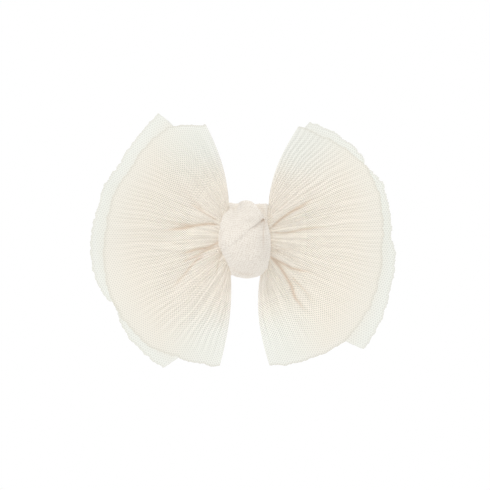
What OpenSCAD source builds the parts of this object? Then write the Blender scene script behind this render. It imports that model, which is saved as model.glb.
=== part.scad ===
// Hair bow: four gathered net sheets, tied at the waist by a knotted rib-knit band that also
// holds the upper arm of a sprung alligator clip.
// +Z is up and -Y is the bow's face. The origin lies where the clip's jaws meet, behind the knot.

/* [Net sheets] */
// Height of the sheets where they are gathered
waist_h = 26; // [22:0.5:27]
// Depth that one gathered sheet takes at the waist
ply_pitch = 2.4; // [2.3:0.05:2.5]
// Distance from front to back between neighbouring rims
rim_pitch = 4; // [3:0.25:5]
// Size of the fans against a bow 130 mm wide
fan_scale = 1; // [0.85:0.01:1.05]
// How far the rims wave forwards and back
scallop = 1.2; // [0:0.1:1.5]

/* [Knotted band] */
// Thickness of the band where it runs round the waist
band_t = 1.3; // [1:0.1:1.4]
// Left edge of the band, from the middle of the bow
band_left = 7.5; // [6.5:0.5:8]
// Right edge of the band, from the middle of the bow
band_right = 10.5; // [9:0.5:10.5]
// How far the knot stands out in front of the waist
knot_depth = 12.5; // [10:0.5:14]

/* [Clip] */
// Thickness of the sheet steel
steel_t = 0.8; // [0.6:0.1:0.9]
// Width of the upper arm
upper_w = 9.6; // [9.2:0.2:10.4]
// Distance from the origin to the tip of the jaws
jaw_reach = 23; // [20:1:26]
// Distance from the origin to the end of the finger tabs
tab_reach = 29; // [26:1:31]
// Radius of the hinge pin
pin_r = 0.8; // [0.7:0.05:0.9]
// Turns in the coil of the spring, besides the half turn between its legs
spring_turns = 4; // [2:1:4]

/* [Hidden] */

// Clip, from front to back: the jaws meet at y = 0.
upper_y = -3.2; // inner face of the upper arm
lower_y = 3; // inner face of the lower arm
pin_x = 14;
tab_rise = 2.1; // how far the upper finger tab bends forwards over its length
ribbon_t = 0.4;
ear_r = 2.2;
ear_foot = 3; // half the length of an ear along its arm
ear_gap = 0.1;
bore_play = 0.06;
lower_w = upper_w - 2 * (steel_t + ear_gap);
jaw_w = 6.4; // width at the tip of the jaws
tooth_pitch = 1.5;
tooth_depth = 0.8;
tooth_gap = 0.12; // from each jaw's teeth to y = 0
wire_r = 0.4;
coil_r = 1.8;
coil_pitch = 0.95;

// Waist: the rear sheet's back clears the thread and the ribbon on the clip.
ply_waist = ply_pitch - 0.2; // thickness of a gathered sheet
ply_rim = 1; // thickness of a sheet at its rim
rear_y = -6.6; // middle of the rear sheet at the waist
rear_rim_y = -10.5; // and at its rim
front_y = rear_y - 3 * ply_pitch - ply_waist / 2; // front face of the gathered stack
back_y = rear_y + ply_waist / 2;
thread_t = 0.5;
thread_play = 0.15;

// Band: its hole clears the thread, and holds the upper arm with its ribbon.
hole_y0 = front_y - thread_t - 2 * thread_play;
hole_y1 = back_y + thread_t + 2 * thread_play;
hole_z = waist_h / 2 + thread_t + 2.5 * thread_play;
arm_pocket = upper_w / 2 + 0.3;
root_play = 0.2; // from the band's edges to where the sheets start to fan out

// Rims of the sheets: [angle above the wing's own outward axis, distance from the fan's centre].
fan_centre = 9;
front_left = [[-89, 53.5], [-69, 52.7], [-57, 54.4], [-29, 52.8], [3, 49], [37, 48.4], [64, 52.2], [82, 48]];
front_right = [[-88, 53], [-71, 53.7], [-50, 54], [-33, 52.5], [-5, 49.2], [19, 51], [35, 52.4], [60, 49.5], [73.5, 49]];
second_left = [[-85, 51], [-57, 52], [-29, 50.5], [3, 47], [37, 46.5], [64, 50], [78, 46.5]];
second_right = [[-84, 51], [-50, 52], [-33, 50.5], [-5, 47.5], [35, 50], [60, 47.5], [70, 47]];
third_left = [[-31, 52], [-29, 54.5], [-21, 56], [-5, 56], [14, 54], [24, 54.5], [37, 53.5], [54, 57], [63, 59.5], [66, 54]];
third_right = [[-52, 54], [-48, 62.5], [-21, 57], [-6, 55.7], [0, 53.5], [13, 54], [26, 55], [36, 52.8]];
rear_left = [[-70, 53], [-65, 60], [-41, 56.5], [-35, 54], [0, 53], [28, 52]];
rear_right = [[-24, 52], [10, 53], [37, 52.5], [39, 54.5], [57, 54], [69, 52.8], [71, 48.5]];

// How far the side edges of the front sheets swell towards the middle: [bottom, top].
left_swell = [4.2, 2.8];
right_swell = [6, 3.2];

rows = 23; // threads drawn across a sheet, less one
reach_steps = [0, 0.07, 0.2, 0.4, 0.6, 0.8, 1];

function mix(a, b, t) = a + (b - a) * t;
function ease(t) = t * t * (3 - 2 * t);
function last(list) = list[len(list) - 1];

// A point on a sheet: v runs from its bottom thread to its top one, and r from the waist to the rim.
function fan_point(rim, side, swell, depth, v, r) =
    let (
        angle = mix(rim[0][0], last(rim)[0], v),
        far = fan_scale * lookup(angle, rim),
        start = [(side < 0 ? band_left : band_right) + root_play, (v - 0.5) * waist_h],
        stop = [fan_centre + far * cos(angle), far * sin(angle)],
        lead = start + norm(stop - start) / 2 * [cos(angle), sin(angle)],
        flat = mix(mix(start, lead, r), mix(lead, stop, r), r),
        edge = pow(abs(2 * v - 1), 4) * sin(180 * r) * ease(min(1, 7 * r)),
        inward = (v < 0.5 ? swell[0] : swell[1]) * edge
    )
    [side * (flat.x - inward),
        mix(depth[0], depth[1], ease(r)) - scallop * r * r * sin(5 * angle),
        flat.y];

// The faces of a closed grid: two skins of columns by rows points, and the strip round their edge.
function skin_faces(columns, rows, first, flip) = [
    for (i = [0 : columns - 2], j = [0 : rows - 2])
        let (a = first + i * rows + j, b = a + rows)
        each flip ? [[a, b, b + 1], [a, b + 1, a + 1]] : [[a, b + 1, b], [a, a + 1, b + 1]]
];
function strip_faces(edge, shift) = [
    for (k = [0 : len(edge) - 1])
        let (a = edge[k], b = edge[(k + 1) % len(edge)])
        each [[a, b + shift, a + shift], [a, b, b + shift]]
];

// One sheet of net from rim to rim, gathered at the waist. index counts from 0 at the back.
module sheet(left, right, left_in, right_in, index) {
    depth = [rear_y - index * ply_pitch, rear_rim_y - index * rim_pitch];
    columns = [
        for (k = [len(reach_steps) - 1 : -1 : 0]) [left, -1, left_in, reach_steps[k]],
        for (r = reach_steps) [right, 1, right_in, r]
    ];
    skins = [
        for (face = [-1, 1], c = columns, j = [0 : rows])
            fan_point(c[0], c[1], c[2], depth, j / rows, c[3])
                + [0, face * mix(ply_waist, ply_rim, c[3]) / 2, 0]
    ];
    n = len(columns);
    per = rows + 1;
    size = n * per;
    edge = [
        for (i = [0 : n - 1]) i * per,
        for (j = [1 : rows]) (n - 1) * per + j,
        for (i = [n - 2 : -1 : 0]) i * per + rows,
        for (j = [rows - 1 : -1 : 1]) j
    ];
    polyhedron(skins, concat(skin_faces(n, per, 0, false), skin_faces(n, per, size, true),
        strip_faces(edge, size)), convexity = 6);
}

module front_sheet() {
    color("linen") sheet(front_left, front_right, left_swell, right_swell, 3);
}

module second_sheet() {
    color("linen") sheet(second_left, second_right, left_swell, right_swell, 2);
}

module third_sheet() {
    color("ivory") sheet(third_left, third_right, [0, 0], [0, 0], 1);
}

module rear_sheet() {
    color("ivory") sheet(rear_left, rear_right, [0, 0], [0, 0], 0);
}

// Sets a shape drawn in Y and Z upright across the bow, from x = start to x = stop.
module across(start, stop) {
    translate([start, 0, 0])
        rotate([90, 0, 90])
            linear_extrude(stop - start) children();
}

// The thread that draws the sheets together, as turns laid side by side.
module gathering_thread() {
    turns = 4;
    inner = [waist_h / 2 + thread_play, (back_y - front_y) / 2 + thread_play];
    middle = (back_y + front_y) / 2;
    color("antiquewhite")
        for (k = [0 : turns - 1]) {
            grow = k % 2 == 0 ? thread_t : thread_t - 0.1;
            across((k - turns / 2) * thread_t, (k + 1 - turns / 2) * thread_t)
                translate([middle, 0]) difference() {
                    square(2 * [inner.y + grow, inner.x + grow], center = true);
                    square(2 * [inner.y, inner.x], center = true);
                }
        }
}

// Outline of the band's hole, in Y and Z: the gathered sheets, then the pocket for the arm.
module band_hole() {
    polygon([[hole_y0, hole_z], [hole_y0, -hole_z], [hole_y1, -hole_z], [upper_y + 0.1, -arm_pocket],
        [upper_y + 0.1, arm_pocket], [hole_y1, hole_z]]);
}

// A padded fold of the knot through the given [x, y, z, radius] points.
module fold(points) {
    hull() for (p = points) translate([p[0], p[1], p[2]]) sphere(p[3], $fn = 24);
}

// The band: one strip round the waist and the clip's arm, tied in a knot at the front.
module knotted_band() {
    face = hole_y0 - knot_depth; // front of the knot
    color("linen") difference() {
        union() {
            across(-band_left, band_right) offset(r = band_t, $fn = 32) band_hole();
            // upper fold, from the top down the left side
            fold([[1.6, hole_y0 - 1.5, 12.2, 3.8], [-2.6, face + 6.5, 5, 6.5], [-4.4, face + 7, -2, 6],
                [-1.5, face + 7.5, -9.2, 5]]);
            // lower fold, from the slit on the right down to the bottom
            fold([[7.4, hole_y0 - 3, 7.5, 3.8], [5, face + 7, -2, 6.5], [3.4, face + 8, -9.4, 6.4],
                [6.2, face + 9, -10.2, 4.8]]);
        }
        across(-band_left - 10, band_right + 10) band_hole();
    }
}

// Stitches that close the band's lap seam, under the bow.
module band_stitches() {
    seam_y = (hole_y0 + hole_y1) / 2 + 2;
    count = 5;
    step = (band_left + band_right) / (count + 1);
    color("antiquewhite")
        for (k = [1 : count])
            translate([k * step - band_left, seam_y - 1.2, -hole_z - band_t])
                rotate([-90, 0, 0]) cylinder(h = 2.4, r = 0.25, $fn = 16);
}

// The outline of a bent strip: a path, and the same path shifted sideways.
function unit(v) = v / norm(v);
function normal(a, b) = let (d = unit(b - a)) [-d.y, d.x];
function corner(path, k) =
    let (
        before = normal(path[max(k - 1, 0)], path[max(k, 1)]),
        after = normal(path[min(k, len(path) - 2)], path[min(k + 1, len(path) - 1)]),
        both = unit(before + after)
    )
    both / (both * after);
function shifted(path, d) = [for (k = [0 : len(path) - 1]) path[k] + d * corner(path, k)];
function strip(path, near, far) =
    let (back = shifted(path, far), n = len(path))
    concat(shifted(path, near), [for (k = [n - 1 : -1 : 0]) back[k]]);

// Inner faces of the two arms, from jaw tip to finger tab.
upper_path = [[-jaw_reach, -tooth_gap], [-jaw_reach, -2.2], [-jaw_reach + 4, upper_y],
    [pin_x, upper_y], [tab_reach, upper_y - tab_rise]];
lower_path = [[-jaw_reach, tooth_gap], [-jaw_reach, 2], [-jaw_reach + 4, lower_y],
    [pin_x, lower_y], [tab_reach, lower_y]];

// Keeps a strip within an arm's plan: full width at the tab, narrow at the jaws, round at the end.
module plan(width) {
    end_r = 3;
    rotate([-90, 0, 0]) linear_extrude(20, center = true) {
        polygon([[-jaw_reach - 2, -jaw_w / 2], [8, -width / 2], [tab_reach - end_r, -width / 2],
            [tab_reach - end_r, width / 2], [8, width / 2], [-jaw_reach - 2, jaw_w / 2]]);
        translate([tab_reach - end_r, 0]) square([2 * end_r, width - 2 * end_r], center = true);
        for (side = [-1, 1])
            translate([tab_reach - end_r, side * (width / 2 - end_r)]) circle(end_r, $fn = 48);
    }
}

// A bent strip of the arm's plan, between two distances from its inner face.
module arm_strip(path, width, near, far) {
    intersection() {
        linear_extrude(20, center = true) polygon(strip(path, near, far));
        plan(width);
    }
}

// One ear of an arm, from its foot on the arm at foot_y to the pin, with the pin's bore.
module ear(foot_y, z, bore_r) {
    toward = sign(foot_y);
    translate([pin_x, 0, z]) linear_extrude(steel_t) difference() {
        union() {
            circle(ear_r, $fn = 48);
            polygon([[-ear_r, 0], [ear_r, 0], [ear_foot, foot_y + toward * steel_t / 2],
                [-ear_foot, foot_y + toward * steel_t / 2]]);
        }
        circle(bore_r, $fn = 48);
    }
}

// Notches that leave a row of teeth on the edge of a jaw.
module tooth_notches(count, shift) {
    for (k = [0 : count - 1])
        translate([-jaw_reach - 2, 0, (k - (count - 1) / 2) * tooth_pitch + shift])
            rotate([0, 90, 0]) linear_extrude(4)
                polygon([[0, -tooth_depth], [tooth_pitch / 2.6, 0], [0, tooth_depth], [-tooth_pitch / 2.6, 0]]);
}

module clip_upper_arm() {
    color("silver") difference() {
        union() {
            arm_strip(upper_path, upper_w, -steel_t, 0);
            for (side = [0, 1])
                mirror([0, 0, side]) ear(upper_y, upper_w / 2 - steel_t, pin_r + 0.01);
        }
        translate([0, -tooth_gap, 0]) tooth_notches(4, 0);
    }
}

module clip_lower_arm() {
    color("silver") difference() {
        union() {
            arm_strip(lower_path, lower_w, 0, steel_t);
            for (side = [0, 1])
                mirror([0, 0, side]) ear(lower_y, lower_w / 2 - steel_t, pin_r + bore_play);
        }
        translate([0, tooth_gap, 0]) tooth_notches(3, 0);
    }
}

module clip_pin() {
    head_h = 0.5;
    ear_face = upper_w / 2 + 0.03;
    color("silver") translate([pin_x, 0, 0]) {
        cylinder(h = 2 * ear_face, r = pin_r, center = true, $fn = 48);
        for (side = [0, 1])
            mirror([0, 0, side]) translate([0, 0, ear_face]) cylinder(h = head_h, r = pin_r + 0.7, $fn = 48);
    }
}

// A round bar along a path. The path is never parallel to Z.
module bar(path, r, sides) {
    n = len(path);
    points = [
        for (k = [0 : n - 1])
            let (
                along = unit(path[min(k + 1, n - 1)] - path[max(k - 1, 0)]),
                out = unit(cross(along, [0, 0, 1])),
                up = cross(out, along)
            )
            for (j = [0 : sides - 1]) path[k] + r * (cos(360 * j / sides) * out + sin(360 * j / sides) * up)
    ];
    walls = [
        for (k = [0 : n - 2], j = [0 : sides - 1])
            let (a = k * sides + j, b = k * sides + (j + 1) % sides)
            each [[a, b, b + sides], [a, b + sides, a + sides]]
    ];
    ends = [[for (j = [sides - 1 : -1 : 0]) j], [for (j = [0 : sides - 1]) (n - 1) * sides + j]];
    polyhedron(points, concat(walls, ends), convexity = 8);
}

// The torsion spring: a leg on each finger tab, and a coil round the pin between them.
module clip_spring() {
    leg_x = tab_reach - 5;
    half = spring_turns * coil_pitch / 2;
    steps = 16 * spring_turns + 8;
    turn = 360 * (spring_turns + 0.5);
    play = wire_r + 0.08;
    tab_y = upper_y - tab_rise * (leg_x - pin_x) / (tab_reach - pin_x);
    path = [
        [leg_x, tab_y + play, -half],
        for (k = [0 : steps])
            let (a = -90 - turn * k / steps)
            [pin_x + coil_r * cos(a), coil_r * sin(a), mix(-half, half, k / steps)],
        [leg_x, lower_y - play, half]
    ];
    color("gainsboro") bar(path, wire_r, 6);
}

// Ribbon glued over the outer face of the upper arm.
module upper_ribbon() {
    color("floralwhite") arm_strip(upper_path, upper_w, -steel_t - ribbon_t, -steel_t);
}

// Ribbon glued over the outer face of the lower arm, which lies against the head.
module lower_ribbon() {
    color("floralwhite") arm_strip(lower_path, lower_w, steel_t, steel_t + ribbon_t);
}

// Ribbed rubber pad inside the upper jaw, which keeps fine hair from slipping.
module grip_pad() {
    length = 9;
    pad_w = 5.2;
    base_t = 0.5;
    ribs = 6;
    color("whitesmoke") translate([-jaw_reach + 4.5, upper_y, 0]) {
        translate([0, 0, -pad_w / 2]) cube([length, base_t, pad_w]);
        for (k = [0 : ribs - 1])
            translate([(k + 0.5) * length / ribs, base_t, 0])
                cylinder(h = pad_w, r = 0.35, center = true, $fn = 24);
    }
}

front_sheet();
second_sheet();
third_sheet();
rear_sheet();
gathering_thread();
knotted_band();
band_stitches();
clip_upper_arm();
clip_lower_arm();
clip_pin();
clip_spring();
upper_ribbon();
lower_ribbon();
grip_pad();
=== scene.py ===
"""The looks of the hair bow: net sheets, knotted rib-knit band, clip, light and camera."""

import math

import bpy
import numpy as np
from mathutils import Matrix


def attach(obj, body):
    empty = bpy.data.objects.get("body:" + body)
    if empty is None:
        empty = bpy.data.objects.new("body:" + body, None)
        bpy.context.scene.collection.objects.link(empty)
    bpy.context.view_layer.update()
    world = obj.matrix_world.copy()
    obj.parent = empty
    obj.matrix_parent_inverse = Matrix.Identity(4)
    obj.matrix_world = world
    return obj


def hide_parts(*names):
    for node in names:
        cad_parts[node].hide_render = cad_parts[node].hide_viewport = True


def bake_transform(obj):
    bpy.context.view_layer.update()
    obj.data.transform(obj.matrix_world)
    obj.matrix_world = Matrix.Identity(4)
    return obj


MM = 0.001
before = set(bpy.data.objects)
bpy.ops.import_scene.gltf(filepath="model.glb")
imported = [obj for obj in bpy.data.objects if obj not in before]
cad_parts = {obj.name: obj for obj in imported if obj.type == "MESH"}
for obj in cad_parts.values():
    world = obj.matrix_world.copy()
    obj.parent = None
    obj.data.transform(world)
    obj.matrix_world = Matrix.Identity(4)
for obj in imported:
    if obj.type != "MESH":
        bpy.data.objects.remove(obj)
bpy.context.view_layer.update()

# ---------------------------------------------------------------- sizes, in mm, as in the CAD
WAIST_H = 26.0
PLY = 2.4
RIM_PLY = 4.0
REAR_Y, REAR_RIM_Y = -6.6, -10.5
FAN_X = 9.0
# where each wing leaves the band, from its foot to its top
WAIST_X = ((5.3, 6.1, 6.4, 5.9), (7.1, 9.4, 9.6, 10.1))
BAND_X = (-7.5, 10.5)
SCALLOP = 1.2
HOLE_Y0, HOLE_Y1, HOLE_Z = -15.7, -4.7, 13.875
POCKET_Y, POCKET_Z = -3.1, 5.1
BAND_T = 1.3
FLAT_H = 145.0  # the height of a net sheet before it was gathered

RIMS = {
    "front_sheet": (
        [(-89, 53.5), (-69, 52.7), (-57, 54.4), (-29, 52.8), (3, 49), (37, 48.4), (64, 52.2), (82, 48)],
        [(-88, 53), (-71, 53.7), (-50, 54), (-33, 52.5), (-5, 49.2), (19, 51), (35, 52.4), (60, 49.5),
            (73.5, 49)],
    ),
    "second_sheet": (
        [(-85, 51), (-57, 52), (-29, 50.5), (3, 47), (37, 46.5), (64, 50), (78, 46.5)],
        [(-84, 51), (-50, 52), (-33, 50.5), (-5, 47.5), (35, 50), (60, 47.5), (70, 47)],
    ),
    "third_sheet": (
        [(-31, 52), (-29, 54.5), (-21, 56), (-5, 56), (14, 54), (24, 54.5), (37, 53.5), (54, 57),
            (63, 59.5), (66, 54)],
        [(-52, 54), (-48, 62.5), (-21, 57), (-6, 55.7), (0, 53.5), (13, 54), (26, 55), (36, 52.8)],
    ),
    "rear_sheet": (
        [(-70, 53), (-65, 60), (-41, 56.5), (-35, 54), (0, 53), (28, 52)],
        [(-24, 52), (10, 53), (37, 52.5), (39, 54.5), (57, 54), (69, 52.8), (71, 48.5)],
    ),
}
SWELL = {"front_sheet": ((0.8, 0.9), (2.0, 1.9)), "second_sheet": ((0.8, 0.9), (2.0, 1.9))}
SHEETS = ("rear_sheet", "third_sheet", "second_sheet", "front_sheet")

# Folds that run out from the knot, each also painting shade along itself: strength, then (x outwards, z)
# points along the fold.
FOLDS = (
    (
        (1.0, (11, 6.0), (15, 6.2), (20, 5.6), (25, 4.9), (30, 4.1), (40, 2.8)),
        (0.45, (22, 6.0), (28, 6.8), (36, 8.2), (44, 9.8)),
        (0.6, (11, 7.8), (15.5, 10.3), (18, 12), (22, 14.5), (27, 17.2)),
        (0.35, (17, 13), (21, 16), (27, 22), (32, 27)),
        (0.3, (11, 0.1), (15, 0.8), (19, 0.4), (25, -0.9), (34, -2.4)),
        (0.9, (10.5, -1.6), (15, -3.3), (20, -4.6), (25, -6), (31, -7.2)),
        (0.6, (11, -3.1), (17, -5.5), (21, -7.5), (26, -10), (32, -13)),
        (0.65, (17, -7.2), (20, -9.5), (25, -14.8), (30, -20.5), (36, -27.5)),
        (0.5, (8.7, -5.3), (10.5, -10), (11.5, -15), (12, -20)),
        (0.3, (10, -5.5), (14, -12), (17, -20), (19, -28)),
        (0.3, (8.0, -8), (7.6, -13), (7.8, -20), (8.6, -30)),
        (0.3, (9.2, 9.5), (10.5, 15), (12, 22)),
    ),
    (
        (1.0, (11.5, 4.5), (15, 7.5), (19.5, 11), (24, 13.8), (29, 17), (34, 20)),
        (0.35, (14, 11), (15.5, 12.8), (18, 16), (21, 20)),
        (0.25, (12.5, 11), (14, 15), (16, 20)),
        (0.7, (12, 2.9), (18, 2.6), (25, 3.9), (33, 5), (42, 7)),
        (0.3, (13, 5), (20, 7), (27, 9), (34, 9.8)),
        (0.35, (12, -4.4), (18, -4.1), (25, -5), (32, -5.6)),
        (0.35, (13, -4.9), (16, -6), (21, -8), (28, -9.4)),
        (0.85, (11.5, -7.6), (15, -9.5), (20, -12.5), (27, -13.6), (33, -17)),
        (1.0, (12, -8.5), (15, -11.2), (18, -15.5), (20, -19.5), (22, -25), (27, -32), (31, -38)),
        (0.55, (20, -15.5), (22.5, -18.5), (26, -22), (29, -26.5), (34, -32)),
        (0.3, (10.5, -12), (10, -18), (10.5, -26)),
    ),
)

# where each wing meets the knot, with painted shade along it: x outwards, z
BORDER = (
    ((8.9, 10.8), (9.5, 6), (10.6, 3), (11.0, 0), (10.7, -3.5), (9.5, -5.9)),
    ((11.2, 4.4), (11.9, 1), (12.0, -4), (11.6, -8)),
)


def smooth(t):
    t = np.clip(t, 0, 1)
    return t * t * (3 - 2 * t)


def wobble(x, seed, step=1.0):
    """Smooth noise between -1 and 1 along x, with a new value each step."""
    table = np.random.default_rng(seed).uniform(-1, 1, 512)
    x = np.asarray(x, float) / step + 200.0
    k = np.floor(x).astype(int)
    t = smooth(x - k)
    return table[k % 512] * (1 - t) + table[(k + 1) % 512] * t


# ---------------------------------------------------------------- meshes
def make_mesh(name, points, faces, uvs=None, attributes=None, sharp=False):
    """A mesh object from points in mm, and per-corner uvs in mm."""
    mesh = bpy.data.meshes.new(name)
    mesh.from_pydata((np.asarray(points, float) * MM).tolist(), [], faces)
    if uvs is not None:
        layer = mesh.uv_layers.new(name="weave")
        layer.data.foreach_set("uv", np.asarray(uvs, np.float32).ravel())
    for key, values in (attributes or {}).items():
        mesh.attributes.new(key, "FLOAT", "POINT").data.foreach_set("value",
            np.asarray(values, np.float32).ravel())
    mesh.validate()
    if not sharp:
        mesh.shade_smooth()
    obj = bpy.data.objects.new(name, mesh)
    bpy.context.scene.collection.objects.link(obj)
    return obj


def grid(name, points, uv=None, wrap_u=False, wrap_v=False, caps=False, attributes=None):
    """A mesh from points [u, v, xyz]. uv holds (u, v) in mm for each point, one past the wraps."""
    nu, nv = points.shape[:2]
    iu, iv = np.meshgrid(np.arange(nu if wrap_u else nu - 1), np.arange(nv if wrap_v else nv - 1),
        indexing="ij")
    iu, iv = iu.ravel(), iv.ravel()
    a = iu * nv + iv
    b = ((iu + 1) % nu) * nv + iv
    c = ((iu + 1) % nu) * nv + (iv + 1) % nv
    d = iu * nv + (iv + 1) % nv
    faces = np.stack([a, b, c, d], 1).tolist()
    corner = None
    if uv is not None:
        corner = np.stack([uv[iu, iv], uv[iu + 1, iv], uv[iu + 1, iv + 1], uv[iu, iv + 1]], 1).reshape(-1,
            2)
    if caps:
        ends = [list(range(nv)), [(nu - 1) * nv + k for k in range(nv)][::-1]]
        faces += ends
        if corner is not None:
            corner = np.concatenate([corner, np.zeros((2 * nv, 2))])
    return make_mesh(name, points.reshape(-1, 3), faces, corner, attributes)


# ---------------------------------------------------------------- material nodes
class Nodes:
    """Builds a material's nodes from small formulas."""

    def __init__(self, name):
        self.material = bpy.data.materials.new(name)
        self.material.use_nodes = True
        self.tree = self.material.node_tree
        self.shader = self.tree.nodes["Principled BSDF"]

    def node(self, kind, **settings):
        n = self.tree.nodes.new(kind)
        for key, value in settings.items():
            setattr(n, key, value)
        return n

    def put(self, socket, value):
        if isinstance(value, bpy.types.NodeSocket):
            self.tree.links.new(value, socket)
        else:
            socket.default_value = value

    def math(self, operation, *values):
        n = self.node("ShaderNodeMath", operation=operation)
        for socket, value in zip(n.inputs, values):
            self.put(socket, value)
        return n.outputs[0]

    def step(self, value, low, high):
        """0 below low, 1 above high, smooth between."""
        n = self.node("ShaderNodeMapRange", interpolation_type="SMOOTHSTEP")
        self.put(n.inputs["Value"], value)
        n.inputs["From Min"].default_value = low
        n.inputs["From Max"].default_value = high
        return n.outputs["Result"]

    def scaled(self, value, low, high, to_low, to_high):
        n = self.node("ShaderNodeMapRange")
        for socket, v in zip(n.inputs, (value, low, high, to_low, to_high)):
            self.put(socket, v)
        return n.outputs["Result"]

    def colour(self, factor, *stops):
        """A colour ramp from (position, (r, g, b)) stops."""
        n = self.node("ShaderNodeValToRGB")
        ramp = n.color_ramp
        while len(ramp.elements) < len(stops):
            ramp.elements.new(1.0)
        for element, (position, rgb) in zip(ramp.elements, stops):
            element.position = position
            element.color = (*rgb, 1)
        self.put(n.inputs["Fac"], factor)
        return n.outputs["Color"]

    def blend(self, factor, a, b, mode="MIX"):
        n = self.node("ShaderNodeMix", data_type="RGBA", blend_type=mode)
        self.put(n.inputs["Factor"], factor)
        self.put(n.inputs[6], a if isinstance(a, bpy.types.NodeSocket) else (*a, 1))
        self.put(n.inputs[7], b if isinstance(b, bpy.types.NodeSocket) else (*b, 1))
        return n.outputs[2]

    def attribute(self, name):
        return self.node("ShaderNodeAttribute", attribute_name=name).outputs["Fac"]

    def weave(self):
        """The cloth's own coordinates, in mm."""
        n = self.node("ShaderNodeUVMap", uv_map="weave")
        s = self.node("ShaderNodeSeparateXYZ")
        self.tree.links.new(n.outputs[0], s.inputs[0])
        return s.outputs[0], s.outputs[1]

    def noise(self, scale, detail=3.0, vector=None):
        n = self.node("ShaderNodeTexNoise")
        n.inputs["Scale"].default_value = scale
        n.inputs["Detail"].default_value = detail
        if vector is None:
            vector = self.node("ShaderNodeTexCoord").outputs["Object"]
        self.tree.links.new(vector, n.inputs["Vector"])
        return n.outputs["Fac"]

    def vector(self, x, y, z=0.0):
        n = self.node("ShaderNodeCombineXYZ")
        for socket, value in zip(n.inputs, (x, y, z)):
            self.put(socket, value)
        return n.outputs[0]

    def bump(self, height, distance, strength=1.0):
        n = self.node("ShaderNodeBump")
        n.inputs["Distance"].default_value = distance
        n.inputs["Strength"].default_value = strength
        self.put(n.inputs["Height"], height)
        self.put(self.shader.inputs["Normal"], n.outputs[0])

    def set(self, **values):
        for key, value in values.items():
            self.put(self.shader.inputs[key.replace("_", " ")],
                value if isinstance(value, (bpy.types.NodeSocket, float, int)) else (*value, 1))
        return self.material


def hex_net(n, u, v, cell_u, cell_v):
    """0 at the middle of a net cell, 1 on its threads. Two offset rows of cells."""
    def row(shift):
        x = n.math("SUBTRACT", n.math("WRAP", n.math("ADD", n.math("DIVIDE", u, cell_u), shift), 1.0, 0.0),
            0.5)
        y = n.math("SUBTRACT", n.math("WRAP", n.math("ADD", n.math("DIVIDE", v, cell_v), shift * 1.732),
            1.732, 0.0), 0.866)
        x, y = n.math("ABSOLUTE", x), n.math("ABSOLUTE", y)
        slant = n.math("ADD", n.math("MULTIPLY", x, 0.5), n.math("MULTIPLY", y, 0.866))
        return n.math("MAXIMUM", x, slant)
    return n.math("MULTIPLY", n.math("MINIMUM", row(0.0), row(0.5)), 2.0)


PALE = (0.81, 0.82, 0.76)
CREAM = (0.83, 0.78, 0.69)
WARM = (0.94, 0.87, 0.78)
# SHADE_TAN is painted shade: the tan that creases, folds and the cells of gathered net are darkened towards
SHADE_TAN = (0.66, 0.52, 0.40)
# HEM_SHADE is painted shade: the darker line along the sheets' curled cut edges
HEM_SHADE = (0.68, 0.66, 0.58)


def net_material():
    n = Nodes("net")
    u, v = n.weave()
    gather, fold, pale = n.attribute("gather"), n.attribute("fold"), n.attribute("pale")
    fill, hem_and_shade = n.attribute("fill"), n.attribute("hem_and_shade")
    thread = hex_net(n, u, v, 1.08, 0.95)
    # the fold mark thickens the threads here, besides painting shade below
    dense = n.math("MAXIMUM", n.math("MULTIPLY", gather, 0.9), n.math("MULTIPLY", fold, 0.8))
    # the threads take more of a cell where the net is drawn together
    limit = n.scaled(dense, 0.0, 1.0, 0.62, 0.2)
    alpha = n.step(n.math("SUBTRACT", thread, limit), -0.12, 0.10)
    # loose fibres half close the cells of the doubled sheets, and the cut edges curl over
    alpha = n.math("MAXIMUM", alpha, n.math("MAXIMUM", fill, n.math("MULTIPLY", hem_and_shade, 0.8)))
    # fine threads pass most of the light that falls on them, so they shade each other only a little
    light = n.node("ShaderNodeLightPath")
    passing = n.math("MAXIMUM", light.outputs["Is Shadow Ray"], light.outputs["Is Diffuse Ray"])
    alpha = n.math("MULTIPLY", alpha, n.math("SUBTRACT", 1.0, n.math("MULTIPLY", passing, 0.95)))
    base = n.colour(n.math("MULTIPLY", gather, 0.3), (0.0, CREAM), (1.0, WARM))
    base = n.blend(pale, base, PALE)
    # painted shade: the middles of the cells are tinted tan where the net is gathered, for the shaded
    # layers behind
    pore = n.math("SUBTRACT", 1.0, n.step(thread, 0.3, 0.8))
    pore_shade = n.math("MULTIPLY", n.scaled(gather, 0.0, 0.6, 0.08, 0.16),
        n.math("SUBTRACT", 1.0, n.math("MULTIPLY", pale, 0.8)))
    base = n.blend(n.math("MULTIPLY", pore, pore_shade), base, SHADE_TAN)
    # where layers lie folded over each other, their meshes cross in a fine speckle, painted as tan dots of
    # shade
    place = n.node("ShaderNodeSeparateXYZ")
    n.tree.links.new(n.node("ShaderNodeTexCoord").outputs["Object"], place.inputs[0])
    crossing_shade = hex_net(n, n.math("ADD", place.outputs[0], n.math("MULTIPLY", place.outputs[2], 0.2)),
        place.outputs[2], 0.00112, 0.00098)
    crossing_shade = n.math("SUBTRACT", 1.0, n.step(crossing_shade, 0.25, 0.8))
    crossing_shade = n.math("MULTIPLY", crossing_shade, n.scaled(gather, 0.08, 0.5, 0.0, 0.12))
    base = n.blend(n.math("MULTIPLY", crossing_shade, n.scaled(n.noise(90.0, 2.0), 0.35, 0.65, 0.3, 1.0)), base,
        SHADE_TAN)
    # painted shade: pleat valleys, the main folds and the wing's edge by the knot are tinted darker tan
    base = n.blend(n.math("MULTIPLY", n.step(fold, 0.1, 0.9), 0.78), base, SHADE_TAN)
    # painted shade: a darker line along the curled cut edge, over the denser alpha of the curl
    base = n.blend(n.math("MULTIPLY", hem_and_shade, 0.55), base, HEM_SHADE)
    n.bump(thread, 0.00012, 0.4)
    n.set(Base_Color=base, Roughness=0.85, Alpha=alpha)
    n.shader.inputs["Specular IOR Level"].default_value = 0.25
    return n.material


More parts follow.
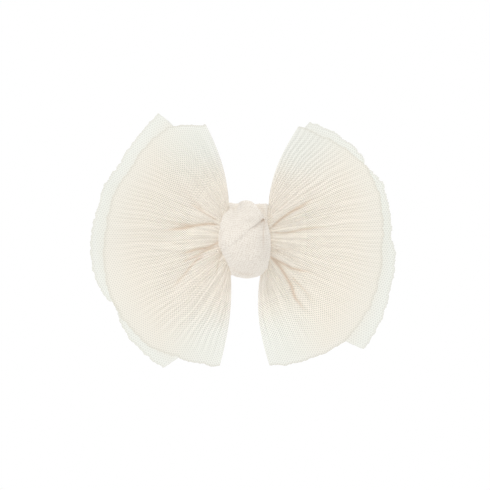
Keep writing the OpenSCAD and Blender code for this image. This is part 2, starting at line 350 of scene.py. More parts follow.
def knit_material(name, base_rgb, shade_rgb, rib, stitch, depth):
    """Rib knit: ribs along u, each a column of V stitches, uneven as a soft knit is."""
    n = Nodes(name)
    u, v = n.weave()
    sway = n.noise(260.0, 2.0)
    across = n.math("ADD", n.math("DIVIDE", v, rib), n.math("MULTIPLY", sway, 2.2))
    ridge = n.math("ABSOLUTE", n.math("SINE", n.math("MULTIPLY", across, math.pi)))
    slant = n.math("ABSOLUTE", n.math("SUBTRACT", n.math("FRACT", across), 0.5))
    legs = n.math("SINE", n.math("MULTIPLY", n.math("ADD", n.math("DIVIDE", u, stitch), slant),
        2 * math.pi))
    mottled = n.noise(1250.0, 3.0)
    height = n.math("ADD", n.math("MULTIPLY", ridge, 0.26), n.math("MULTIPLY", legs, 0.16))
    height = n.math("ADD", height, n.math("MULTIPLY", mottled, 1.0))
    tone = n.colour(height, (0.36, shade_rgb), (0.80, base_rgb))
    # painted shade: the creases and slit marked on the knot and band are tinted darker tan
    groove_shade = n.attribute("fold")
    tone = n.blend(n.math("MULTIPLY", groove_shade, 0.8), tone, SHADE_TAN)
    n.bump(height, depth)
    n.set(Base_Color=tone, Roughness=0.88)
    n.shader.inputs["Sheen Weight"].default_value = 0.25
    n.shader.inputs["Sheen Roughness"].default_value = 0.5
    return n.material


def metal_material(name, rgb, roughness, grain):
    n = Nodes(name)
    where = n.node("ShaderNodeTexCoord").outputs["Object"]
    stretch = n.node("ShaderNodeMapping")
    stretch.inputs["Scale"].default_value = grain
    n.tree.links.new(where, stretch.inputs["Vector"])
    lines = n.noise(1.0, 6.0, stretch.outputs[0])
    blotch = n.noise(350.0, 3.0)
    tone = n.colour(blotch, (0.3, tuple(c * 0.86 for c in rgb)), (0.7, rgb))
    n.bump(lines, 0.00001, 0.6)
    bevel = n.node("ShaderNodeBevel", samples=4)
    bevel.inputs["Radius"].default_value = 0.00012
    bump = n.shader.inputs["Normal"].links[0].from_node
    n.tree.links.new(bevel.outputs["Normal"], bump.inputs["Normal"])
    n.set(Base_Color=tone, Metallic=1.0,
        Roughness=n.scaled(lines, 0.2, 0.8, roughness * 0.7, roughness * 1.4))
    return n.material


def grosgrain_material():
    n = Nodes("grosgrain")
    u, v = n.weave()
    rib = n.math("SINE", n.math("MULTIPLY", u, 2 * math.pi / 0.62))
    warp = n.math("SINE", n.math("MULTIPLY", v, 2 * math.pi / 0.16))
    height = n.math("ADD", n.math("MULTIPLY", rib, 0.5), n.math("MULTIPLY", warp, 0.15))
    fibre = n.noise(2500.0, 4.0)
    # painted shade: the rib valleys are darker, with random fibre tone over it
    tone = n.colour(n.math("ADD", height, n.math("MULTIPLY", fibre, 0.4)), (0.0, (0.66, 0.60, 0.50)),
        (0.55, (0.84, 0.79, 0.70)))
    n.bump(height, 0.00006)
    n.set(Base_Color=tone, Roughness=0.6)
    n.shader.inputs["Sheen Weight"].default_value = 0.3
    return n.material


def thread_material():
    n = Nodes("thread")
    u, v = n.weave()
    twist = n.math("SINE", n.math("MULTIPLY", n.math("ADD", n.math("DIVIDE", u, 0.5), v), 2 * math.pi))
    # painted shade: the grooves of the twist are darker
    tone = n.colour(n.scaled(twist, -1.0, 1.0, 0.0, 1.0), (0.0, (0.62, 0.55, 0.45)),
        (0.8, (0.86, 0.80, 0.70)))
    n.bump(twist, 0.00005)
    n.set(Base_Color=tone, Roughness=0.7)
    return n.material


def rubber_material():
    n = Nodes("pad_rubber")
    speck = n.noise(3000.0, 5.0)
    tone = n.colour(speck, (0.35, (0.68, 0.66, 0.61)), (0.65, (0.78, 0.76, 0.71)))
    n.bump(speck, 0.00003)
    n.set(Base_Color=tone, Roughness=0.75)
    return n.material


def along_line(x, z, line):
    """Distance to a polyline in X and Z, its side (+1 above), and how far along it (0 to 1) that is."""
    line = np.array(line, float)
    total = np.linalg.norm(np.diff(line, axis=0), axis=1)
    best = np.full(x.shape, 1e9)
    side = np.zeros(x.shape)
    where = np.zeros(x.shape)
    run = 0.0
    for (a, b), length in zip(zip(line[:-1], line[1:]), total):
        d = (b - a) / length
        t = np.clip((x - a[0]) * d[0] + (z - a[1]) * d[1], 0, length)
        px, pz = x - a[0] - t * d[0], z - a[1] - t * d[1]
        dist = np.hypot(px, pz)
        sign = np.sign((z - a[1]) * d[0] - (x - a[0]) * d[1])
        near = dist < best
        best, side, where = np.where(near, dist, best), np.where(near, sign, side), np.where(near,
            (run + t) / total.sum(), where)
        run += length
    return best, side, where


# ---------------------------------------------------------------- net sheets
NR, NV = 90, 360
PLEATS = 25
CRIMPS, CRIMPED = 62, 0.8  # fine crimps across one wing, and how much of the spare cloth they take up
PUFF = 3.0  # how far the net stands out beside the knot


def fan(rim, side, swell, v, r, ragged=0.0):
    """X (outwards) and Z of one wing, by v from bottom to top and r from the waist to the rim."""
    angles, far = np.array(rim, float).T
    angle = angles[0] + (angles[-1] - angles[0]) * v
    reach = np.interp(angle, angles, far) + ragged
    ca, sa = np.cos(np.radians(angle)), np.sin(np.radians(angle))
    sx = np.interp(v, (0, 0.16, 0.86, 1), WAIST_X[0 if side < 0 else 1])
    sz = (v - 0.5) * WAIST_H
    ex, ez = FAN_X + reach * ca, reach * sa
    half = np.hypot(ex - sx, ez - sz) / 2
    lx, lz = sx + half * ca, sz + half * sa

    def bezier(a, b, c):
        return (a * (1 - r) + b * r) * (1 - r) + (b * (1 - r) + c * r) * r

    pull = np.abs(np.clip(2 * v - 1, -1, 1)) ** 4 * np.sin(np.pi
        * np.clip(r, 0, 1)) * smooth(np.minimum(1, 7 * r))
    x = bezier(sx, lx, ex) - np.where(v < 0.5, swell[0], swell[1]) * pull
    return x, bezier(sz, lz, ez)


def on_front(side, x, z, r, v):
    """Where points fall on the front sheet: its r and v there, and its width across the folds."""
    k = 0 if side < 0 else 1
    rim, swell = RIMS["front_sheet"][k], SWELL["front_sheet"][k]
    h = 1e-3
    for _ in range(14):
        x0, z0 = fan(rim, side, swell, v, r)
        xr, zr = fan(rim, side, swell, v, r + h)
        xv, zv = fan(rim, side, swell, v + h, r)
        a, b, c, d = (xr - x0) / h, (xv - x0) / h, (zr - z0) / h, (zv - z0) / h
        det = a * d - b * c
        det = np.where(np.abs(det) < 50, 50 * np.sign(det + 1e-9), det)
        ex, ez = x - x0, z - z0
        r = np.clip(r + np.clip((d * ex - b * ez) / det, -0.15, 0.15), 0, 1.3)
        v = np.clip(v + np.clip((a * ez - c * ex) / det, -0.1, 0.1), -0.15, 1.15)
    return r, v, np.hypot(b, d)


def lift_of(side, x, z, r, v):
    """At a point: how far the folds push the net back, how deep in a fold it is (which thickens the threads
    and paints shade there), and how gathered.
    """
    fx, fz = x, z
    r, v, width = on_front(side, x, z, r, v)
    rho = r * 52.0
    ratio = np.clip(FLAT_H / width, 1.0, 4.2)
    pitch = width / PLEATS
    phase = PLEATS * v + 1.3 * wobble(v, 11 + side, 0.07) + 0.12 * wobble(rho, 17,
        14.0) + 0.35 * wobble(v * 9 + rho / 25, 19, 1.0)
    wave = 1 - 2 * np.sqrt(np.sin(np.pi * phase) ** 2 + 0.004)
    depth = 0.25 * pitch * np.sqrt(ratio**2 - 1)
    spare = wobble(phase.round() * 1.7 + side, 23)
    fade = 1 - 0.85 * smooth((rho - 18 - 8 * spare) / 15)
    fine = CRIMPS * v + 0.5 * wobble(v, 31 + side, 0.03) + 0.3 * wobble(rho, 37, 9.0)
    crimp = 1 - 2 * np.sqrt(np.sin(np.pi * fine) ** 2 + 0.01)
    crimp = crimp * 0.25 * (width / CRIMPS) * np.sqrt(ratio**2 - 1) * CRIMPED
    near = 0.7 + 0.3 * smooth((rho - 6) / 14)
    lift = 1.2 * depth * (0.72 + 0.4 * spare) * fade * near * wave
    # fold is painted shade in the pleat valleys, and below along the main folds
    fold = 0.10 * smooth((wave - 0.2) / 0.8) * smooth((ratio - 1.3) / 1.5) * fade
    calm = np.ones_like(rho)
    made = 0.0
    for k, (strength, *track) in enumerate(FOLDS[0 if side < 0 else 1]):
        d, _, t = along_line(fx + 0.25 * wobble(fz + 9 * k, 900 + k, 4.0),
            fz + 0.25 * wobble(fx, 930 + k, 5.0), track)
        reach = (0.5 + 0.5 * smooth(t / 0.06)) * (1 - smooth((t - 0.5) / 0.5))
        broad = 0.7 + 0.055 * rho
        close = np.exp(-np.sqrt(d * d + 0.04) / broad)
        calm = calm * (1 - strength * np.exp(-((d / (3 + 0.1 * rho)) ** 2)))
        lift = lift * (1 - 0.7 * strength * reach * np.exp(-((d / (1.6 * broad)) ** 2)))
        made += strength * reach * (1.9 * close - 0.75
            * np.exp(-((np.abs(d) - 2.4 * broad) / (1.3 * broad)) ** 2))
        fold += strength * reach * np.exp(-np.abs(d) / (0.42 + 0.022 * rho)) * (1 - 0.7
            * smooth((rho - 16) / 24))
    # away from the main folds the pleats soon flatten
    lift = lift * (1 - 0.74 * np.clip(calm, 0, 1)
        * smooth((rho - 5) / 12)) + made * smooth((rho + 1) / 4) + crimp * (0.55 + 0.45
            * smooth((rho - 4) / 10))
    border, _, _ = along_line(fx, fz, BORDER[0 if side < 0 else 1])
    # painted shade also lies along where the wing meets the knot
    fold = fold * (0.65 + 0.35 * smooth((rho - 1) / 3)) + 0.3 * np.exp(-((border / 0.5) ** 2))
    return lift, np.clip(fold, 0, 1), np.clip((ratio - 1.15) / 3.0, 0, 1)


def wing(name, index, side):
    rim = RIMS[name][0 if side < 0 else 1]
    swell = SWELL.get(name, ((0, 0), (0, 0)))[0 if side < 0 else 1]
    r, v = np.meshgrid(np.linspace(0, 1, NR), np.linspace(0, 1, NV), indexing="ij")
    seed = 40 + 10 * index + (side > 0)
    ragged = 0.35 * wobble(v, seed, 0.02) + 0.25 * wobble(v, seed + 100, 0.006)
    x, z = fan(rim, side, swell, v, r, ragged)
    angle = rim[0][0] + (rim[-1][0] - rim[0][0]) * v
    front = RIMS["front_sheet"][0 if side < 0 else 1]
    guess = (angle - front[0][0]) / (front[-1][0] - front[0][0])
    lift, fold, gather = lift_of(side, x, z, r, v + (guess - v) * r)
    y = REAR_Y - index * PLY + (REAR_RIM_Y - REAR_Y - index * (RIM_PLY - PLY)) * smooth(r)
    y = y - SCALLOP * r * r * np.sin(np.radians(5 * angle)) + lift
    y = y - PUFF * (0.8 * smooth(r / 0.012) + 0.2 * smooth(r / 0.06)) * (1 - smooth((r - 0.08) / 0.34))
    y = y + 1.1 * wobble(v * 6, 60 + index * 3 + side, 1.0) * r**2
    # the flat sheet's own coordinates: along its threads, and across them
    along = np.cumsum(np.hypot(np.diff(x, axis=0, prepend=x[:1]), np.diff(z, axis=0, prepend=z[:1])),
        axis=0) + FAN_X
    uv = np.stack([along + 3.1 * index,
        (v - 0.5) * FLAT_H * (rim[-1][0] - rim[0][0]) / 171.0 + 1.7 * index], 2)
    ends = smooth((np.abs(2 * v - 1) - 0.45) / 0.5) * smooth((r - 0.25) / 0.5)
    pale = np.maximum(ends * (0.9 if index > 1 else 0.5),
        smooth((r - 0.7) / 0.3) * (0.35 if index > 1 else 1.0))
    fill = 0.5 * smooth((r - 0.3) / 0.4) + 0.34 * smooth((r - 0.6) / 0.25)
    if index > 1:
        fill = 0.64 * smooth((r - 0.2) / 0.3) + 0.2 * smooth((r - 0.55) / 0.3)
    # the cut edge: it curls over, and a line of shade is painted along it
    hem_and_shade = smooth((r - 0.972) / 0.02) * (1.0 if index > 1 else 0.5)
    marks = {"gather": gather, "fold": fold, "pale": pale, "fill": fill, "hem_and_shade": hem_and_shade}
    return np.stack([side * x, y, z], 2), uv * (side, 1), marks


def build_sheet(name, index, material):
    left, luv, lmarks = wing(name, index, -1)
    right, ruv, rmarks = wing(name, index, 1)
    middle = np.linspace(0, 1, 12)[1:-1]

    def joined(a, b):
        """Both wings' rows from rim to rim, with the gathered waist between them."""
        t = middle.reshape(-1, *[1] * (a.ndim - 1))
        return np.concatenate([a[::-1], a[:1] * (1 - t) + b[:1] * t, b])

    marks = {key: joined(lmarks[key], rmarks[key]) for key in lmarks}
    obj = grid("net_" + name, joined(left, right), joined(luv, ruv), attributes=marks)
    obj.data.materials.append(material)
    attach(obj, "bow")
    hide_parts(name)
    return obj


net = net_material()
sheets = [build_sheet(name, k, net) for k, name in enumerate(SHEETS)]


def cut_of(obj):
    """The cloth a gathered sheet was cut from, in metres: width, height and area, from its own mesh.

    Each thread runs from rim to rim through the waist, so it keeps its length, and the rims aren't
    gathered, so they keep theirs. The parts of the rims that run across the threads give the height.
    Crimps make neighbouring threads differ a little in length, which isn't a slant of the rim, so
    lengths are evened widely.
    """
    p = np.array([v.co[:] for v in obj.data.vertices]).reshape(-1, NV, 3)
    middle = len(p) // 2

    def even(a, reach=3):
        return np.convolve(np.pad(a, reach, mode="edge"), np.ones(2 * reach + 1) / (2 * reach + 1), "valid")

    widths, rises = 0.0, 0.0
    for half, rim in ((p[: middle + 1], p[0]), (p[middle:], p[-1])):
        thread = even(np.linalg.norm(np.diff(half, axis=0), axis=2).sum(0), 15)
        step = np.diff(np.stack([even(rim[:, k]) for k in range(3)], 1), axis=0)
        rises = rises + 0.5 * np.sqrt(np.clip((step**2).sum(1) - np.diff(thread) ** 2, 0, None))
        widths = widths + thread
    area = (0.5 * (widths[1:] + widths[:-1]) * rises).sum()
    return widths.max(), rises.sum(), area


for obj in sheets:
    cut_width, cut_height, cut_area = cut_of(obj)


# ---------------------------------------------------------------- knotted band
def loop_path(offset, steps):
    """The band's way round the sheets and the arm, in Y and Z, at a distance outside its hole."""
    corners = np.array([(HOLE_Y0, -HOLE_Z), (HOLE_Y0, HOLE_Z), (HOLE_Y1, HOLE_Z), (POCKET_Y, POCKET_Z),
                        (POCKET_Y, -POCKET_Z), (HOLE_Y1, -HOLE_Z)])
    n = len(corners)
    dense = []
    for k in range(n):
        a, b = corners[k], corners[(k + 1) % n]
        dense.append(a + (b - a) * np.linspace(0, 1, 80, endpoint=False)[:, None])
    p = np.concatenate(dense)
    for _ in range(60):  # rounds the corners a little
        p = 0.5 * p + 0.25 * (np.roll(p, 1, 0) + np.roll(p, -1, 0))
    d = np.roll(p, -1, 0) - np.roll(p, 1, 0)
    out = np.stack([-d[:, 1], d[:, 0]], 1)
    out /= np.linalg.norm(out, axis=1)[:, None]
    q = p + offset * out
    s = np.concatenate([[0], np.cumsum(np.linalg.norm(np.diff(np.concatenate([q, q[:1]]), axis=0),
        axis=1))])
    q = np.concatenate([q, q[:1]])
    at = np.linspace(0, s[-1], steps, endpoint=False)
    return np.stack([np.interp(at, s, q[:, k]) for k in (0, 1)], 1), at


def build_loop(material):
    """The band's straight part, with the pleats and edges that show above and below the knot."""
    steps, nx = 260, 110
    inner, along = loop_path(0.25, steps)
    outer, _ = loop_path(1.0, steps)
    direction = (outer - inner) / np.linalg.norm(outer - inner, axis=1)[:, None]
    half = np.linspace(0, 1, nx)
    edge = smooth(np.minimum(half, 1 - half) / 0.05)
    drift = 0.25 * wobble(along / 9.0, 8)[:, None] * np.sin(np.pi * half)[None]
    # the band is pinched narrower in front than behind, most of all at its foot
    front = smooth((HOLE_Y1 - 2 - outer[:, 0]) / 5)
    left = BAND_X[0] + front * np.interp(outer[:, 1], (-13, 13), (2.3, 1.4))
    right = BAND_X[1] - front * np.interp(outer[:, 1], (-13, -6, 13), (3.2, 0.3, 0.1))
    x = left[:, None] + (right - left)[:, None] * half + drift
    crease = 0.75 * np.exp(-(((x + 1.6) / 0.55) ** 2)) + 0.35 * np.exp(-(((x
        - 7.9) / 0.8) ** 2)) + 0.4 * np.exp(-(((x - 4.6) / 0.9) ** 2))
    pleat = 0.22 * wobble(half * 14, 6) + 0.12 * wobble(half * 33, 5) - crease
    rings, uvs, creases = [], [], []
    for outside, base in ((True, outer), (False, inner)):
        h = (pleat + 0.1 + 0.3 * ((x - 3) / 7.5) ** 2) * (1 if outside else 0.25)
        h = h * edge - (0.35 if outside else -0.25) * (1 - edge)
        p = np.stack([x, base[:, :1] + direction[:, :1] * h, base[:, 1:] + direction[:, 1:] * h], 2)
        rings.append(p if outside else p[:, ::-1])
        uvs.append(np.stack([np.repeat(along[:, None], nx, 1), p[:, :, 0] * 1.6], 2)[:,
            :: 1 if outside else -1])
        creases.append(crease if outside else 0 * crease)
    points, uv = np.concatenate(rings, 1), np.concatenate(uvs, 1)
    uv = np.concatenate([uv, uv[:1] + (along[-1] + along[1], 0)], 0)
    uv = np.concatenate([uv, uv[:, -1:]], 1)
    # painted shade along the band's creases, on its outside only
    fold = 0.45 * np.clip(np.concatenate(creases, 1), 0, 1)
    obj = grid("band_loop", points, uv, wrap_u=True, wrap_v=True, attributes={"fold": fold})
    obj.data.materials.append(material)
    return obj


SLIT = [(-1.5, 0.2), (0.5, 2.0), (3.0, 4.3), (4.7, 5.1), (6.3, 6.5), (8.5, 8.3)]
RIGHT_CREASE = [(8.9, 7.6), (8.5, 5.8), (8.3, 2.0), (8.3, -2.6), (8.8, -8.0), (9.2, -13.0)]
RIGHT_EDGE = [(8.7, 7.7), (10.2, 5.9), (11.6, 3.6)]
LEFT_SIDE = [(-9.6, 3.0), (-9.9, 0.0), (-9.4, -3.4), (-8.6, -6.0)]
UNDER = [(-5.6, -11.8), (-3.5, -13.2), (-0.5, -14.5), (3.0, -15.0)]
# the knot's outline and how far it stands out in front, by height: z, left, right, face
OUTLINE = np.array([
    (-16.6, 0.5, 2.5, -18.0), (-16.0, -3.0, 5.5, -20.0), (-15.0, -5.1, 8.0, -21.8),
        (-12.0, -6.1, 10.2, -25.3),
    (-9.0, -7.4, 10.9, -27.2), (-6.0, -9.0, 11.3, -28.0), (-2.0, -10.5, 11.6, -28.2),
        (1.6, -10.6, 11.4, -27.6),
    (6.0, -9.9, 10.3, -25.4), (8.5, -9.3, 9.3, -22.6), (10.4, -8.8, 8.8, -19.6), (12.4, -7.0, 8.0, -17.4),
])
KNOT_MIDDLE = (0.8, -17.5, -2.0)
STRAND_WIDE = 1.6  # the fold is this much wider than it is thick
# the fold that goes up from the knot and over the band's top edge: x, y, z, half width
OVER = [(1.1, -10.0, 13.9, 2.0), (1.1, -14.0, 14.0, 2.15), (1.5, -17.2, 13.2, 2.4), (2.2, -20.2, 11.2, 2.8),
    (3.0, -22.6, 8.6, 3.2)]


def soft_least(a, b, k):
    """The lesser of two distances, rounded where they are within k of each other."""
    h = np.clip(0.5 + 0.5 * (b - a) / k, 0, 1)
    return b * (1 - h) + a * h - k * h * (1 - h)


def knot_distance(p):
    """About how far points are outside the knot, negative inside it."""
    x, y, z = p[..., 0], p[..., 1], p[..., 2]
    zs = np.clip(z, OUTLINE[0, 0], OUTLINE[-1, 0])
    left, right, face = (np.interp(zs, OUTLINE[:, 0], OUTLINE[:, k]) for k in (1, 2, 3))
    wide, deep = (right - left) / 2, -15.4 - face
    across = np.abs(x - (left + right) / 2) / wide
    ahead = np.maximum(-15.4 - y, 0) / deep
    round_ = (across**2.6 + ahead**2.3) ** (1 / 2.45)
    body = (round_ - 1) * np.minimum(wide, deep)
    body = np.maximum(body, np.maximum(y + 15.0, np.abs(z + 2.1) - 14.5))
    strand = np.full(x.shape, 1e9)
    for (ax, ay, az, ar), (bx, by, bz, br) in zip(OVER[:-1], OVER[1:]):
        d = np.array([(bx - ax) / STRAND_WIDE, by - ay, bz - az])
        q = np.stack([(x - ax) / STRAND_WIDE, y - ay, z - az], -1)
        t = np.clip(q @ d / (d @ d), 0, 1)
        strand = soft_least(strand, np.linalg.norm(q - t[..., None] * d, axis=-1) - (ar + (br - ar) * t),
            0.8)
    return soft_least(body, strand, 1.6)


def build_knot(material):
    """The knot: a rounded lump with a fold over the band's edge, then its slit, creases and puckers, and
    painted shade in the slit and along the creases.
    """
    turns, levels = 330, 240
    turn, level = np.meshgrid(np.linspace(0, 2 * np.pi, turns, endpoint=False),
        np.linspace(-0.5, 0.5, levels) * np.pi, indexing="ij")
    ray = np.stack([np.cos(level) * np.cos(turn), -np.cos(level) * np.sin(turn), np.sin(level)], 2)
    middle = np.array(KNOT_MIDDLE)
    low, high = np.full(turn.shape, 1.0), np.full(turn.shape, 26.0)
    for _ in range(26):
        guess = (low + high) / 2
        outside = knot_distance(middle + ray * guess[..., None]) > 0
        low, high = np.where(outside, low, guess), np.where(outside, guess, high)
    points = middle + ray * high[..., None]
    for _ in range(3):
        around = (np.roll(points, 1, 0) + np.roll(points, -1, 0)) / 2
        points[:, 1:-1] = 0.5 * points[:, 1:-1] + 0.25 * around[:,
            1:-1] + 0.125 * (points[:, 2:] + points[:, :-2])
    x, y, z = np.moveaxis(points, 2, 0)
    front = smooth((-17.5 - y) / 4.0)
    d, above, t = along_line(x, z, SLIT)
    deep = 0.06 + 0.94 * smooth((x - 1.0) / 5.0)
    hole = smooth((x - 6.6) / 1.4)
    push = -deep * 0.6 * np.exp(-d / 0.8) - 1.5 * hole * np.exp(-((d / 0.4) ** 2))
    push += np.where(above > 0, 0.9 * np.exp(-d / 2.4), -0.35 * np.exp(-d / 2.2)) * smooth(d / 0.6) * deep
    # fold paints shade: a dark spot in the slit's hole and darker lines along the creases and edges
    fold = hole * np.exp(-((d / 0.5) ** 2)) + 0.35 * deep * np.exp(-d / 0.5)
    d, beyond, t = along_line(x, z, RIGHT_CREASE)
    push -= 0.95 * np.exp(-d / 0.45) * (1 - 0.6 * smooth(t / 0.9))
    push -= np.where(beyond > 0, 0.35, 0.0) * smooth(d / 0.5) * (1 - smooth((t - 0.4) / 0.5))
    fold += 0.5 * np.exp(-d / 0.35) * (1 - smooth((t - 0.25) / 0.5))
    d, _, _ = along_line(x, z, RIGHT_EDGE)
    push -= 0.9 * np.exp(-d / 0.5)
    fold += 0.8 * np.exp(-d / 0.4)
    d, _, _ = along_line(x, z, UNDER)
    push -= 0.5 * np.exp(-d / 0.7)
    fold += 0.22 * np.exp(-d / 0.6)
    d, _, _ = along_line(x, z, LEFT_SIDE)
    push -= 0.5 * np.exp(-d / 0.7)
    fold += 0.3 * np.exp(-d / 0.5)
    # loose puckers
    push += 0.20 * wobble(x * 0.6 + z * 0.25, 31, 1.6) + 0.16 * wobble(z * 0.7 - x * 0.3, 32, 1.9)
    ribbed = smooth((x + 4) / 5) * smooth((3 - z) / 4) * smooth((9.0 - x) / 2)
    push += 0.12 * np.sin(2 * np.pi * (0.35 * z + x) / 2.6 + 1.5 * wobble(z, 33, 4.0)) * ribbed
    y = y - push * front
    # the ribs of the upper fold sweep down and left from over the band,
    # and those of the lower one down from the slit
    upper = soft_side(x, z)
    swing, radius = np.arctan2(z - 17.0, x + 3.0), np.hypot(z - 17.0, x + 3.0)
    uv_upper = np.stack([radius, swing * 15.0], 2)
    uv_lower = np.stack([-0.95 * z - 0.3 * x + 0.3 * y, 0.95 * x - 0.3 * z + 0.4 * y], 2)
    uv = np.where(upper[..., None], uv_upper, uv_lower)
    uv = np.concatenate([uv, uv[:1]], 0)
    obj = grid("band_knot", np.stack([x, y, z], 2), uv, wrap_u=True,
        attributes={"fold": np.clip(fold * front, 0, 1)})
    obj.data.materials.append(material)
    return obj


def soft_side(x, z):
    """True above the slit and the line it fades along."""
    return z > np.interp(x, (-10, -1.5, 3.0, 8.5), (-6.0, 0.2, 4.3, 8.3))


rib_knit = knit_material("rib_knit", (0.86, 0.81, 0.735), (0.71, 0.645, 0.565), 1.0, 0.9, 0.00016)
band = [build_loop(rib_knit), build_knot(rib_knit)]
for obj in band:
    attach(obj, "bow")
    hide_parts("knotted_band")

# ---------------------------------------------------------------- threads and wire
def rounded(route, step, rounds=0):
    """A polyline's points at even steps, with its corners rounded a little."""
    route = np.array(route, float)
    run = np.concatenate([[0], np.cumsum(np.linalg.norm(np.diff(route, axis=0), axis=1))])
    at = np.linspace(0, run[-1], max(int(run[-1] / step), 8) + 1)
    dense = np.stack([np.interp(at, run, route[:, k]) for k in range(route.shape[1])], 1)
    for _ in range(rounds):
        dense[1:-1] = 0.5 * dense[1:-1] + 0.25 * (dense[2:] + dense[:-2])
    return dense


def round_bar(name, centre, radius, sides=12, lay=0.0, depth=0.0):
    """A round bar along a path. With a lay it is two strands, which turn once in that length."""
    ahead = np.gradient(centre, axis=0)
    ahead /= np.linalg.norm(ahead, axis=1)[:, None]
    side = np.zeros_like(ahead)
    side[0] = np.cross(ahead[0], (0.31, 0.52, 0.79))
    for k in range(1, len(ahead)):  # carries the first ring's direction along, without twist
        side[k] = side[k - 1] - ahead[k] * (side[k - 1] @ ahead[k])
        side[k] /= np.linalg.norm(side[k])
    side[0] /= np.linalg.norm(side[0])
    other = np.cross(ahead, side)
    turn = np.linspace(0, 2 * np.pi, sides, endpoint=False)
    run = np.concatenate([[0], np.cumsum(np.linalg.norm(np.diff(centre, axis=0), axis=1))])
    size = np.full((len(centre), sides), radius)
    if lay:
        size = size * (1 - depth * (1 - np.abs(np.cos(turn[None] - np.pi * 2 * run[:, None] / (2 * lay)))))
    points = centre[:, None] + side[:, None] * (size * np.cos(turn))[..., None] + other[:,
        None] * (size * np.sin(turn))[..., None]
    around = np.linspace(0, 1, sides + 1)
    uv = np.stack(np.broadcast_arrays(run[:, None], around[None]), 2)
    return grid(name, points, uv, wrap_v=True, caps=True)


def finish_piece(obj, material, body, node):
    obj.data.materials.append(material)
    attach(obj, body)
    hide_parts(node)
    return obj


def wound_thread():
    """Turns of thread round the gathered waist, side by side."""
    turns, radius = 5, 0.24
    half_y, half_z = (HOLE_Y1 - HOLE_Y0) / 2 - 0.42, HOLE_Z - 0.5
    middle_y = (HOLE_Y0 + HOLE_Y1) / 2
    t = np.linspace(0, 2 * np.pi * turns, 1500)
    square = 0.5
    c, n = np.cos(t), np.sin(t)
    y = middle_y + half_y * np.sign(c) * np.abs(c) ** square
    z = half_z * np.sign(n) * np.abs(n) ** square
    x = (t / (2 * np.pi) - turns / 2) * 2 * radius * 0.95
    return rounded(np.stack([x, y, z], 1), 0.16, 4)


def stitches(points_of):
    """One mesh of all the stitches."""
    parts = [round_bar("stitch", points, 0.24, 10, 0.9, 0.22) for points in points_of]
    first = parts[0]
    with bpy.context.temp_override(active_object=first, object=first, selected_objects=parts,
        selected_editable_objects=parts):
        bpy.ops.object.join()
    first.name = "whip_stitches"
    return first


def whip_stitch(x):
    """A slanted stitch over the seam at the band's foot."""
    t = np.linspace(-1, 1, 24)
    seam_y, rise = (HOLE_Y0 + HOLE_Y1) / 2 + 2.0, 0.45
    z = -(HOLE_Z + 0.95) - rise * (1 - t**4) + 0.35
    return rounded(np.stack([x + 0.45 * t, seam_y + 1.5 * t, z], 1), 0.15)


def spring_path():
    leg_x, half = TAB_REACH - 5, SPRING_TURNS * COIL_PITCH / 2
    leg_y = UPPER_Y - TAB_RISE * (leg_x - PIN_X) / (TAB_REACH - PIN_X) + WIRE_R + 0.08
    t = np.linspace(0, 1, 420)
    a = np.radians(-90 - 360 * (SPRING_TURNS + 0.5) * t)
    coil = np.stack([PIN_X + COIL_R * np.cos(a), COIL_R * np.sin(a), half * (2 * t - 1)], 1)
    first, last = np.array([leg_x, leg_y, -half]), np.array([leg_x, LOWER_Y - WIRE_R - 0.08, half])
    leg = np.linspace(0, 1, 40, endpoint=False)[:, None]
    path = np.concatenate([first + (coil[0] - first) * leg, coil,
        (coil[-1] + (last - coil[-1]) * (leg + 1 / 40))])
    for _ in range(8):
        path[1:-1] = 0.5 * path[1:-1] + 0.25 * (path[2:] + path[:-2])
    return path


# ---------------------------------------------------------------- ribbons on the clip
UPPER_Y, LOWER_Y, PIN_X, JAW_REACH, TAB_REACH, TAB_RISE = -3.2, 3.0, 14.0, 23.0, 29.0, 2.1
STEEL_T, RIBBON_T, UPPER_W, LOWER_W, JAW_W, TAB_ROUND = 0.8, 0.4, 9.6, 7.8, 6.4, 3.0
WIRE_R, COIL_R, COIL_PITCH, SPRING_TURNS = 0.4, 1.8, 0.95, 4
RIB_PITCH = 0.62


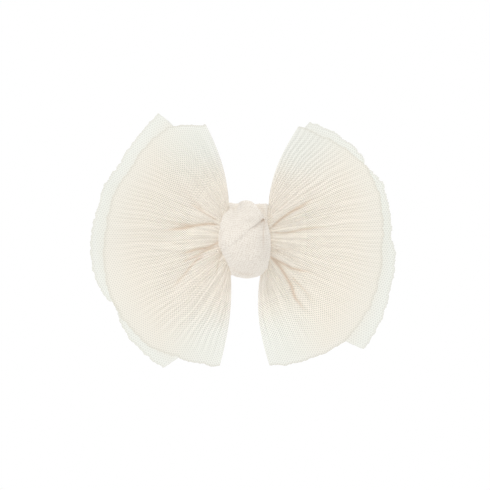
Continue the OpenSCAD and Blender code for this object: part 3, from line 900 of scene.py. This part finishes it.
def ribbon_piece(name, route, outwards, width):
    """Grosgrain ribbon over an arm's outer face: real ribs across it, and a looped edge along each side."""
    face = rounded(route, 0.09, 3)
    ahead = np.gradient(face, axis=0)
    ahead /= np.linalg.norm(ahead, axis=1)[:, None]
    out = outwards * np.stack([ahead[:, 1], -ahead[:, 0]], 1)
    for _ in range(6):  # turns its corners over a short arc
        out[1:-1] = 0.5 * out[1:-1] + 0.25 * (out[2:] + out[:-2])
    out /= np.linalg.norm(out, axis=1)[:, None]
    run = np.concatenate([[0], np.cumsum(np.linalg.norm(np.diff(face, axis=0), axis=1))])
    x = face[:, 0] + out[:, 0] * STEEL_T
    half = np.interp(x, (-JAW_REACH - 2, 8), (JAW_W / 2, width / 2))
    past = np.clip((x - (TAB_REACH - TAB_ROUND)) / TAB_ROUND, 0, 0.999)
    half = half - TAB_ROUND * (1 - np.sqrt(1 - past**2))
    wave = np.cos(2 * np.pi * run / RIB_PITCH)
    half = half + 0.05 * wave
    across = np.linspace(-1, 1, 33)
    selvedge = 0.05 * np.exp(-(((1 - np.abs(across)) / 0.05) ** 2))
    rings, uvs = [], []
    for side in (1, -1):
        a = across * side
        lift = STEEL_T + (RIBBON_T if side > 0 else 0.03)
        high = lift + (0.07 * wave[:, None] * (1 - 0.6 * np.abs(a) ** 8) + selvedge if side > 0 else 0 * a)
        high = high - side * 0.12 * np.abs(a) ** 24
        p = np.zeros((len(face), len(a), 3))
        p[:, :, 0] = face[:, :1] + out[:, :1] * high
        p[:, :, 1] = face[:, 1:] + out[:, 1:] * high
        p[:, :, 2] = half[:, None] * a
        rings.append(p)
        uvs.append(np.stack(np.broadcast_arrays(run[:, None], half[:, None] * a), 2))
    points, uv = np.concatenate(rings, 1), np.concatenate(uvs, 1)
    return grid(name, points, np.concatenate([uv, uv[:, -1:]], 1), wrap_v=True, caps=True)


upper_route = [(-JAW_REACH, -0.3), (-JAW_REACH, -2.2), (-JAW_REACH + 4, UPPER_Y), (PIN_X, UPPER_Y),
    (TAB_REACH - 0.1, UPPER_Y - TAB_RISE)]
lower_route = [(-JAW_REACH, 0.3), (-JAW_REACH, 2.0), (-JAW_REACH + 4, LOWER_Y), (PIN_X, LOWER_Y),
    (TAB_REACH - 0.05, LOWER_Y)]

steel = metal_material("steel", (0.72, 0.72, 0.73), 0.3, (400.0, 4000.0, 4000.0))
wire = metal_material("spring_wire", (0.55, 0.55, 0.57), 0.35, (3000.0, 3000.0, 3000.0))
ribbon, thread, rubber = grosgrain_material(), thread_material(), rubber_material()

finish_piece(ribbon_piece("ribbon_upper", upper_route, 1, UPPER_W), ribbon, "bow", "upper_ribbon")
finish_piece(ribbon_piece("ribbon_lower", lower_route, -1, LOWER_W), ribbon, "jaw", "lower_ribbon")
finish_piece(round_bar("thread_turns", wound_thread(), 0.24, 10, 0.9, 0.2), thread, "bow",
    "gathering_thread")
finish_piece(stitches([whip_stitch(x) for x in (-4.5, -1.5, 1.5, 4.5, 7.0)]), thread, "bow",
    "band_stitches")
spring = round_bar("torsion_spring", spring_path(), WIRE_R, 16)
spring.data.materials.append(wire)
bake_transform(spring)
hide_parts("clip_spring")

for node, material in (("clip_upper_arm", steel), ("clip_lower_arm", steel), ("clip_pin", steel),
    ("grip_pad", rubber)):
    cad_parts[node].data.materials.clear()
    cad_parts[node].data.materials.append(material)

# ---------------------------------------------------------------- stage, light and camera
def emissive(name, rgb):
    m = bpy.data.materials.new(name)
    m.use_nodes = True
    t = m.node_tree
    t.nodes.clear()
    out = t.nodes.new("ShaderNodeOutputMaterial")
    glow = t.nodes.new("ShaderNodeEmission")
    glow.inputs["Color"].default_value = (*rgb, 1)
    glow.inputs["Strength"].default_value = 1.0
    t.links.new(glow.outputs[0], out.inputs[0])
    return m


floor = make_mesh("floor", [(-2500, -2500, -75), (2500, -2500, -75), (2500, 2500, -75), (-2500, 2500, -75)],
    [(0, 1, 2, 3)])
floor.data.materials.append(emissive("floor_white", (1.0, 1.0, 1.0)))

scene = bpy.context.scene
world = bpy.data.worlds.new("studio")
scene.world = world
world.use_nodes = True
tree = world.node_tree
background = tree.nodes["Background"]
background.inputs["Color"].default_value = (1, 1, 1, 1)
path = tree.nodes.new("ShaderNodeLightPath")
level = tree.nodes.new("ShaderNodeMapRange")
level.inputs["To Min"].default_value = 0.88
level.inputs["To Max"].default_value = 1.0
tree.links.new(path.outputs["Is Camera Ray"], level.inputs["Value"])
tree.links.new(level.outputs["Result"], background.inputs["Strength"])


def area_light(name, place, size, power):
    data = bpy.data.lights.new(name, "AREA")
    data.shape = "DISK"
    data.size = size
    data.energy = power
    obj = bpy.data.objects.new(name, data)
    obj.location = place
    direction = -obj.location
    obj.rotation_euler = direction.to_track_quat("-Z", "Y").to_euler()
    scene.collection.objects.link(obj)


area_light("key", (-0.55, -0.8, 0.95), 0.5, 4.0)
area_light("back", (0.5, 0.9, 0.7), 0.5, 3.0)

camera_data = bpy.data.cameras.new("camera")
camera_data.sensor_width = 36.0
camera_data.lens = 36.0 / 0.2058
camera_data.clip_start = 0.05
camera = bpy.data.objects.new("camera", camera_data)
camera.location = (0.00063, -1.018, -0.00252)
camera.rotation_euler = (math.pi / 2, 0, 0)
scene.collection.objects.link(camera)
scene.camera = camera
scene.view_settings.view_transform = "Standard"
scene.view_settings.look = "None"
scene.cycles.transparent_max_bounces = 64
